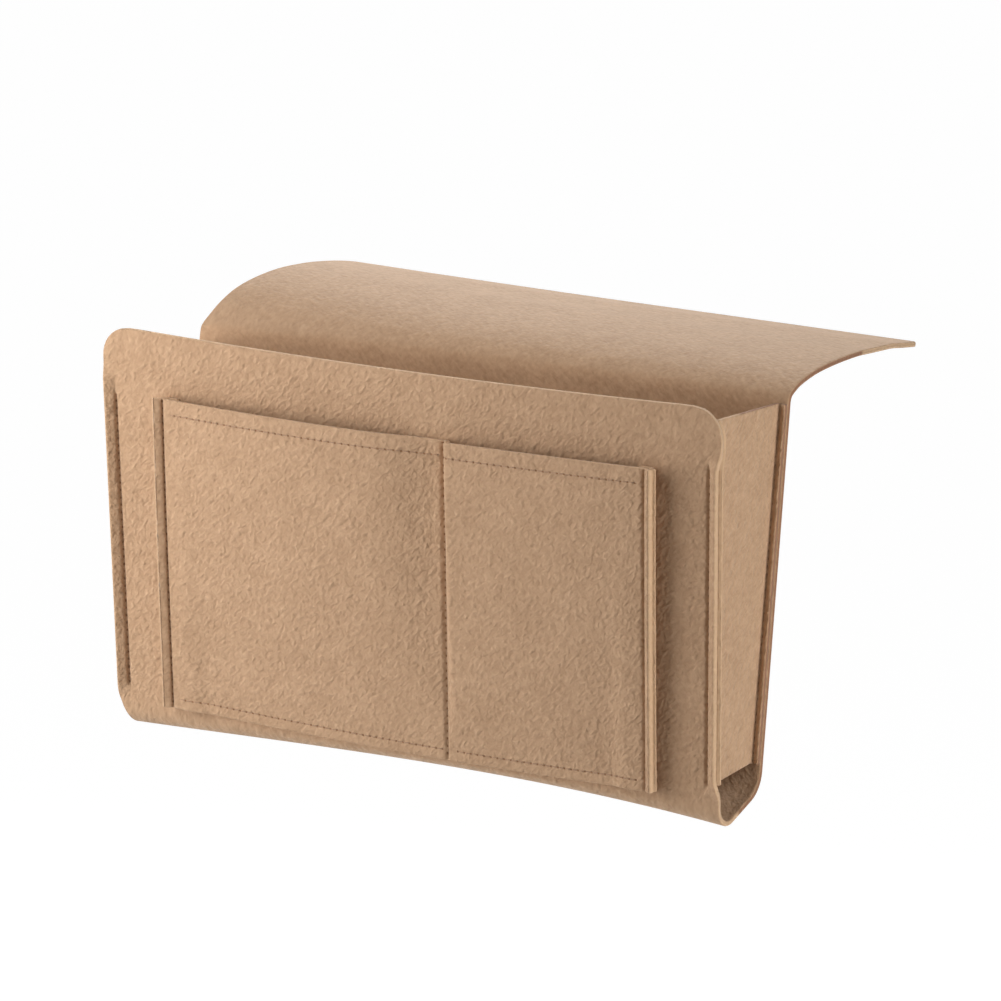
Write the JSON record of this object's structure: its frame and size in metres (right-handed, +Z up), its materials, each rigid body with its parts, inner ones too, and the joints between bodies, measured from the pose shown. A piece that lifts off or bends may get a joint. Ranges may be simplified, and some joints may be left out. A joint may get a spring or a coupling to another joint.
{
  "type": "bedside caddy",
  "caption": "Hanging felt bedside caddy: a tapered pouch with a front pocket and a long flap that slides under the mattress.",
  "frame": {"origin": "middle of the back panel's flat rear face, halfway up the body", "axes": "+X across the width to the caddy's right as seen from the front, +Y out of the rear face towards the bed, +Z up; the pouch and its pocket face -Y"},
  "size_m": [0.331, 0.2182, 0.2132],
  "materials": {
    "felt": "matte",
    "thread": "satin"
  },
  "bodies": {
    "pouch": {"main_panel": "felt", "pocket_panel": "felt", "left_gusset": "felt", "left_pocket_side": "felt", "left_front_seam_thread": "thread", "left_back_seam_thread": "thread", "left_pocket_seam_thread": "thread", "left_pocket_foot_thread": "thread", "left_pocket_hem_thread": "thread", "left_pocket_foot_hem_thread": "thread", "right_gusset": "felt", "right_pocket_side": "felt", "right_front_seam_thread": "thread", "right_back_seam_thread": "thread", "right_pocket_seam_thread": "thread", "right_pocket_foot_thread": "thread", "right_pocket_hem_thread": "thread", "right_pocket_foot_hem_thread": "thread", "pocket_divider_thread": "thread"},
    "flap": {"flap_panel": "felt"}
  },
  "joints": [
    {"name": "flap_fold", "type": "hinge", "parent": "pouch", "child": "flap", "pos_m": [0, -0.00125, 0.09165], "axis": [0.9999, 0, 0.0142], "range_deg": [-80, 80]}
  ]
}
